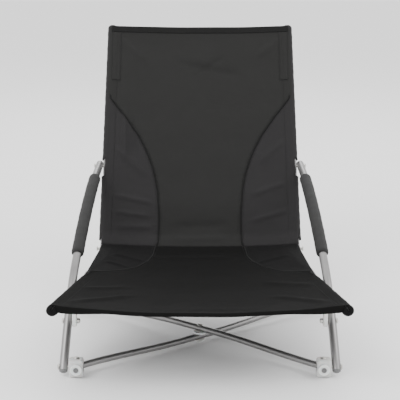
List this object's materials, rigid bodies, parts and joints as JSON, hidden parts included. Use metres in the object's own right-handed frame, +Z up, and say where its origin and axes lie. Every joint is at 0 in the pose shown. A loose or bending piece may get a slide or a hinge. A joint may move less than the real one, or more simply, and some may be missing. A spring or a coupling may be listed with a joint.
{
  "type": "folding camp chair",
  "caption": "Low folding camp chair with a black fabric sling, curved silver tube frame with foam armrests, and a flat X base on white nylon hubs.",
  "frame": {"origin": "on the ground, under the middle of the bounding box", "axes": "+Z up; the sitter faces -Y and +X is the right-hand side as seen from the front"},
  "size_m": [0.5364, 0.7673, 0.5633],
  "materials": {
    "tube_steel": "silver grey powder coat, satin",
    "zinc": "zinc plated",
    "nylon": "moulded white",
    "plug_plastic": "moulded grey",
    "foam": "closed-cell foam sleeve",
    "sling_fabric": "woven polyester"
  },
  "bodies": {
    "cross": {"cross_bolt": "zinc", "cross_nut": "nylon", "cross_spacer": "nylon"},
    "strut_a": {"strut_a": "tube_steel"},
    "strut_b": {"strut_b": "tube_steel"},
    "hub_fr": {"hub_fr": "nylon", "hub_pin_fr": "zinc", "foot_bolt_fr": "zinc"},
    "hub_rl": {"hub_rl": "nylon", "hub_pin_rl": "zinc"},
    "hub_fl": {"hub_fl": "nylon", "hub_pin_fl": "zinc", "foot_bolt_fl": "zinc"},
    "hub_rr": {"hub_rr": "nylon", "hub_pin_rr": "zinc"},
    "arm_r": {"arm_tube_r": "tube_steel", "foam_grip_r": "foam", "leg_tip_r": "plug_plastic", "arm_end_plug_r": "plug_plastic", "rail_bolt_r": "zinc", "rail_nut_r": "zinc", "arm_bolt_r": "zinc", "arm_nut_r": "zinc"},
    "post_r": {"back_post_r": "tube_steel", "post_cap_r": "plug_plastic", "post_foot_r": "plug_plastic", "foot_bolt_rr": "zinc", "waist_bolt_r": "zinc"},
    "rail_r": {"seat_rail_r": "tube_steel", "rail_bracket_r": "nylon", "rail_cap_r": "plug_plastic", "rail_plug_r": "plug_plastic"},
    "collar_r": {"collar_r": "nylon"},
    "arm_l": {"arm_tube_l": "tube_steel", "foam_grip_l": "foam", "leg_tip_l": "plug_plastic", "arm_end_plug_l": "plug_plastic", "rail_bolt_l": "zinc", "rail_nut_l": "zinc", "arm_bolt_l": "zinc", "arm_nut_l": "zinc"},
    "post_l": {"back_post_l": "tube_steel", "post_cap_l": "plug_plastic", "post_foot_l": "plug_plastic", "foot_bolt_rl": "zinc", "waist_bolt_l": "zinc"},
    "rail_l": {"seat_rail_l": "tube_steel", "rail_bracket_l": "nylon", "rail_cap_l": "plug_plastic", "rail_plug_l": "plug_plastic"},
    "collar_l": {"collar_l": "nylon"},
    "sling_back": {"sling_back": "sling_fabric"},
    "sling_seat": {"sling_seat": "sling_fabric"}
  },
  "joints": [
    {"name": "fold", "type": "hinge", "parent": "cross", "child": "strut_a", "pos_m": [0, -0.1155, 0.018], "axis": [0, 0, -1], "range_deg": [0, 38], "deforming": ["sling_seat", "sling_back"]},
    {"name": "strut_b_turn", "type": "hinge", "parent": "cross", "child": "strut_b", "pos_m": [0, -0.1155, 0.018], "axis": [0, 0, 1], "range_deg": [0, 38.05]},
    {"name": "hub_fr_turn", "type": "hinge", "parent": "strut_a", "child": "hub_fr", "pos_m": [0.226, -0.2955, 0.018], "axis": [0, 0, 1], "range_deg": [0, 38.05]},
    {"name": "hub_rl_turn", "type": "hinge", "parent": "strut_a", "child": "hub_rl", "pos_m": [-0.226, 0.0645, 0.018], "axis": [0, 0, 1], "range_deg": [0, 38.05]},
    {"name": "hub_fl_turn", "type": "hinge", "parent": "strut_b", "child": "hub_fl", "pos_m": [-0.226, -0.2955, 0.018], "axis": [0, 0, -1], "range_deg": [0, 38.05]},
    {"name": "hub_rr_turn", "type": "hinge", "parent": "strut_b", "child": "hub_rr", "pos_m": [0.226, 0.0645, 0.018], "axis": [0, 0, -1], "range_deg": [0, 38.05]},
    {"name": "arm_r_tilt", "type": "hinge", "parent": "hub_fr", "child": "arm_r", "pos_m": [0.25, -0.2955, 0.018], "axis": [1, 0, 0], "range_deg": [0, 2]},
    {"name": "post_r_swing", "type": "hinge", "parent": "arm_r", "child": "post_r", "pos_m": [0.2009, 0.1915, 0.284], "axis": [1, 0, 0], "range_deg": [0, 40.24]},
    {"name": "rail_r_tilt", "type": "hinge", "parent": "arm_r", "child": "rail_r", "pos_m": [0.2335, -0.2375, 0.0862], "axis": [1, 0, 0], "range_deg": [-3.16, 0]},
    {"name": "collar_r_slide", "type": "slide", "parent": "rail_r", "child": "collar_r", "axis": [0, 0.9982, -0.0606], "range_m": [0, 0.12452]},
    {"name": "arm_l_tilt", "type": "hinge", "parent": "hub_fl", "child": "arm_l", "pos_m": [-0.25, -0.2955, 0.018], "axis": [1, 0, 0], "range_deg": [0, 2]},
    {"name": "post_l_swing", "type": "hinge", "parent": "arm_l", "child": "post_l", "pos_m": [-0.2009, 0.1915, 0.284], "axis": [1, 0, 0], "range_deg": [0, 40.24]},
    {"name": "rail_l_tilt", "type": "hinge", "parent": "arm_l", "child": "rail_l", "pos_m": [-0.2335, -0.2375, 0.0862], "axis": [1, 0, 0], "range_deg": [-3.16, 0]},
    {"name": "collar_l_slide", "type": "slide", "parent": "rail_l", "child": "collar_l", "axis": [0, 0.9982, -0.0606], "range_m": [0, 0.12452]},
    {"name": "sling_back_tilt", "type": "hinge", "parent": "cross", "child": "sling_back", "pos_m": [0, 0.11499, 0.14904], "axis": [1, 0, 0], "range_deg": [0, 42.19]},
    {"name": "sling_seat_shift", "type": "slide", "parent": "cross", "child": "sling_seat", "axis": [0, -1, 0], "range_m": [0, 0.10384]}
  ],
  "couplings": [
    {"joint": "strut_b_turn", "follows": "fold", "ratio": 1},
    {"joint": "hub_fr_turn", "follows": "fold", "ratio": 1},
    {"joint": "hub_rl_turn", "follows": "fold", "ratio": 1},
    {"joint": "hub_fl_turn", "follows": "fold", "ratio": 1},
    {"joint": "hub_rr_turn", "follows": "fold", "ratio": 1},
    {"joint": "arm_r_tilt", "follows": "fold", "ratio": 0.051409},
    {"joint": "post_r_swing", "follows": "fold", "ratio": 1.0576},
    {"joint": "rail_r_tilt", "follows": "fold", "ratio": -0.081857},
    {"joint": "collar_r_slide", "follows": "fold", "m_per_rad": 0.18699},
    {"joint": "arm_l_tilt", "follows": "fold", "ratio": 0.051409},
    {"joint": "post_l_swing", "follows": "fold", "ratio": 1.0576},
    {"joint": "rail_l_tilt", "follows": "fold", "ratio": -0.081857},
    {"joint": "collar_l_slide", "follows": "fold", "m_per_rad": 0.18699},
    {"joint": "sling_back_tilt", "follows": "fold", "ratio": 1.109},
    {"joint": "sling_seat_shift", "follows": "fold", "m_per_rad": 0.15581}
  ]
}
